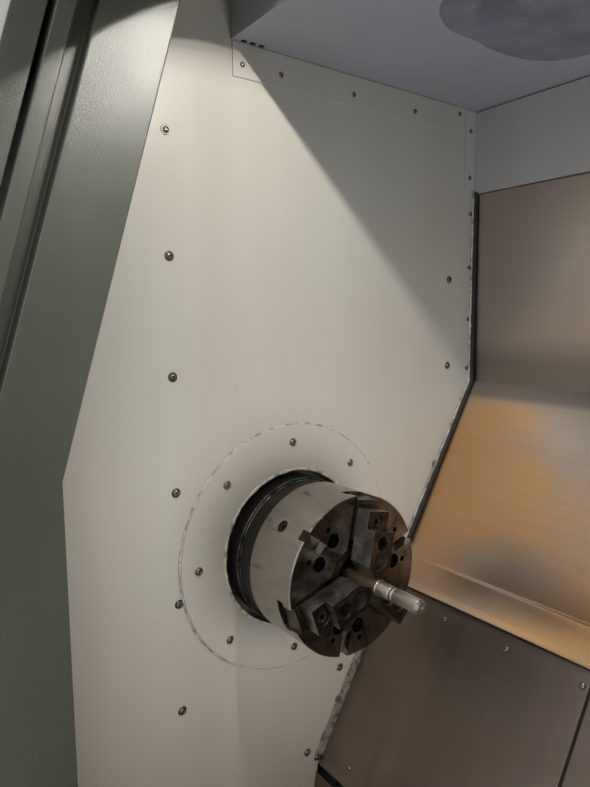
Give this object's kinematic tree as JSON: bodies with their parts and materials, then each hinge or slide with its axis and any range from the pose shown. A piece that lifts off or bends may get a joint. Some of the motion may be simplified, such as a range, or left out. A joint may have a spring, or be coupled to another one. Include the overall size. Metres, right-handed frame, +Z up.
{
  "type": "cnc turning lathe",
  "caption": "Slant-bed CNC turning lathe: power chuck with stepped jaws, tool turret on a slanted carriage, enclosed chamber with sliding door, console and cabinet.",
  "frame": {"origin": "middle of the footprint's box, on the floor under the levelling feet", "axes": "+X along the spindle from the headstock to the tail end, +Y from the door to the back, +Z up"},
  "size_m": [2.4, 1.6366, 1.74],
  "materials": {
    "sage_paint": "gloss sage green enamel with light orange peel",
    "wall_paint": "worn warm grey enamel, oily",
    "beige_paint": "textured beige enamel",
    "grey_paint": "satin grey enamel",
    "casting_paint": "painted cast surface",
    "stainless": "brushed along the length, oily",
    "dull_steel": "dull, scratched and stained",
    "ground_steel": "ground, fine turning marks",
    "oiled_steel": "hardened, dark and oily",
    "black_oxide": "black oxide",
    "turned_bar": "freshly turned front, raw scale behind",
    "belt_rubber": "matte",
    "clear_sheet": "clear laminated window",
    "screen_glass": "dark glossy screen",
    "red_plastic": "glossy",
    "green_plastic": "glossy",
    "dark_plastic": "fine textured"
  },
  "bodies": {
    "machine": {"base_casting": "casting_paint", "coolant_tank": "casting_paint", "headstock_casting": "casting_paint", "front_bearing": "ground_steel", "rear_bearing": "ground_steel", "spindle_motor": "grey_paint", "drive_belt": "belt_rubber", "headstock_wall": "wall_paint", "spindle_ring_cover": "wall_paint", "tail_wall": "wall_paint", "roof_panel": "grey_paint", "rear_header": "wall_paint", "slant_cover": "stainless", "chip_chute": "dull_steel", "way_cover_fixed": "dull_steel", "left_post": "sage_paint", "right_post": "sage_paint", "headstock_cover": "beige_paint", "control_cover": "beige_paint", "front_header": "sage_paint", "front_apron": "beige_paint", "left_end_cover": "beige_paint", "right_end_cover": "beige_paint", "top_cover": "beige_paint", "rear_cover": "beige_paint", "electrical_cabinet": "beige_paint", "operator_console": "beige_paint", "console_screen": "screen_glass"},
    "spindle": {"spindle": "ground_steel", "chuck_adapter": "black_oxide", "spindle_pulley": "ground_steel", "hydraulic_cylinder": "ground_steel", "chuck_body": "ground_steel", "chuck_cover": "black_oxide", "workpiece_bar": "turned_bar"},
    "draw_tube": {"draw_tube": "ground_steel"},
    "jaw_1": {"master_jaw_1": "oiled_steel", "top_jaw_1": "oiled_steel"},
    "jaw_2": {"master_jaw_2": "oiled_steel", "top_jaw_2": "oiled_steel"},
    "jaw_3": {"master_jaw_3": "oiled_steel", "top_jaw_3": "oiled_steel"},
    "motor_rotor": {"motor_pulley": "ground_steel"},
    "carriage": {"saddle": "casting_paint", "way_cover_moving": "dull_steel"},
    "ball_screw": {"ball_screw": "ground_steel"},
    "cross_slide": {"cross_slide": "ground_steel", "turret_housing": "casting_paint"},
    "turret": {"turret_disc": "ground_steel", "turning_tool": "black_oxide", "boring_bar": "black_oxide"},
    "door": {"sliding_door": "sage_paint", "door_window": "clear_sheet", "door_handle": "dark_plastic"},
    "cabinet_door": {"cabinet_door": "beige_paint"},
    "isolator": {"isolator_handle": "red_plastic"},
    "estop": {"estop_button": "red_plastic"},
    "cycle_start": {"cycle_start_button": "green_plastic"},
    "override": {"override_knob": "dark_plastic"},
    "handwheel": {"handwheel": "ground_steel"}
  },
  "joints": [
    {"name": "spindle_spin", "type": "hinge", "parent": "machine", "child": "spindle", "pos_m": [-0.34, -0.266, 1], "axis": [1, 0, 0], "continuous": true},
    {"name": "motor_spin", "type": "hinge", "parent": "machine", "child": "motor_rotor", "pos_m": [-0.34, -0.456, 0.26], "axis": [1, 0, 0], "continuous": true},
    {"name": "jaw_1_slide", "type": "slide", "parent": "spindle", "child": "jaw_1", "axis": [0, 0.1942, 0.981], "range_m": [0, 0.0037]},
    {"name": "jaw_2_slide", "type": "slide", "parent": "spindle", "child": "jaw_2", "axis": [0, -0.9466, -0.3223], "range_m": [0, 0.0037]},
    {"name": "jaw_3_slide", "type": "slide", "parent": "spindle", "child": "jaw_3", "axis": [0, 0.7524, -0.6587], "range_m": [0, 0.0037]},
    {"name": "draw_tube_slide", "type": "slide", "parent": "spindle", "child": "draw_tube", "axis": [1, 0, 0], "range_m": [0, 0.016]},
    {"name": "carriage_slide", "type": "slide", "parent": "machine", "child": "carriage", "axis": [-1, 0, 0], "range_m": [0, 0.33]},
    {"name": "ball_screw_spin", "type": "hinge", "parent": "machine", "child": "ball_screw", "pos_m": [-0.34, -0.11353, 0.74506], "axis": [1, 0, 0], "range_deg": [0, 11881]},
    {"name": "cross_slide_feed", "type": "slide", "parent": "carriage", "child": "cross_slide", "axis": [0, -0.515, -0.8572], "range_m": [0, 0.18]},
    {"name": "turret_index", "type": "hinge", "parent": "cross_slide", "child": "turret", "pos_m": [-0.34, -0.07544, 1.31715], "axis": [1, 0, 0], "continuous": true},
    {"name": "door_slide", "type": "slide", "parent": "machine", "child": "door", "axis": [1, 0, 0], "range_m": [0, 0.77]},
    {"name": "cabinet_door_hinge", "type": "hinge", "parent": "machine", "child": "cabinet_door", "pos_m": [-0.14, 0.7843, 0.88], "axis": [0, 0, 1], "range_deg": [0, 110]},
    {"name": "isolator_turn", "type": "hinge", "parent": "cabinet_door", "child": "isolator", "pos_m": [0.64, 0.7843, 1.2], "axis": [0, 1, 0], "range_deg": [0, 90]},
    {"name": "estop_press", "type": "slide", "parent": "machine", "child": "estop", "axis": [0, 1, 0], "range_m": [0, 0.005]},
    {"name": "cycle_start_press", "type": "slide", "parent": "machine", "child": "cycle_start", "axis": [0, 1, 0], "range_m": [0, 0.003], "stiffness_N_per_m": 500},
    {"name": "override_turn", "type": "hinge", "parent": "machine", "child": "override", "pos_m": [1.03, -0.7683, 1.11], "axis": [0, 1, 0], "range_deg": [0, 270]},
    {"name": "handwheel_turn", "type": "hinge", "parent": "machine", "child": "handwheel", "pos_m": [1.03, -0.7683, 0.98], "axis": [0, 1, 0], "continuous": true}
  ],
  "couplings": [
    {"joint": "motor_spin", "follows": "spindle_spin", "ratio": 1.4167},
    {"joint": "jaw_2_slide", "follows": "jaw_1_slide", "ratio": 1},
    {"joint": "jaw_3_slide", "follows": "jaw_1_slide", "ratio": 1},
    {"joint": "draw_tube_slide", "follows": "jaw_1_slide", "ratio": 4.3243},
    {"joint": "ball_screw_spin", "follows": "carriage_slide", "rad_per_m": 628.32}
  ]
}
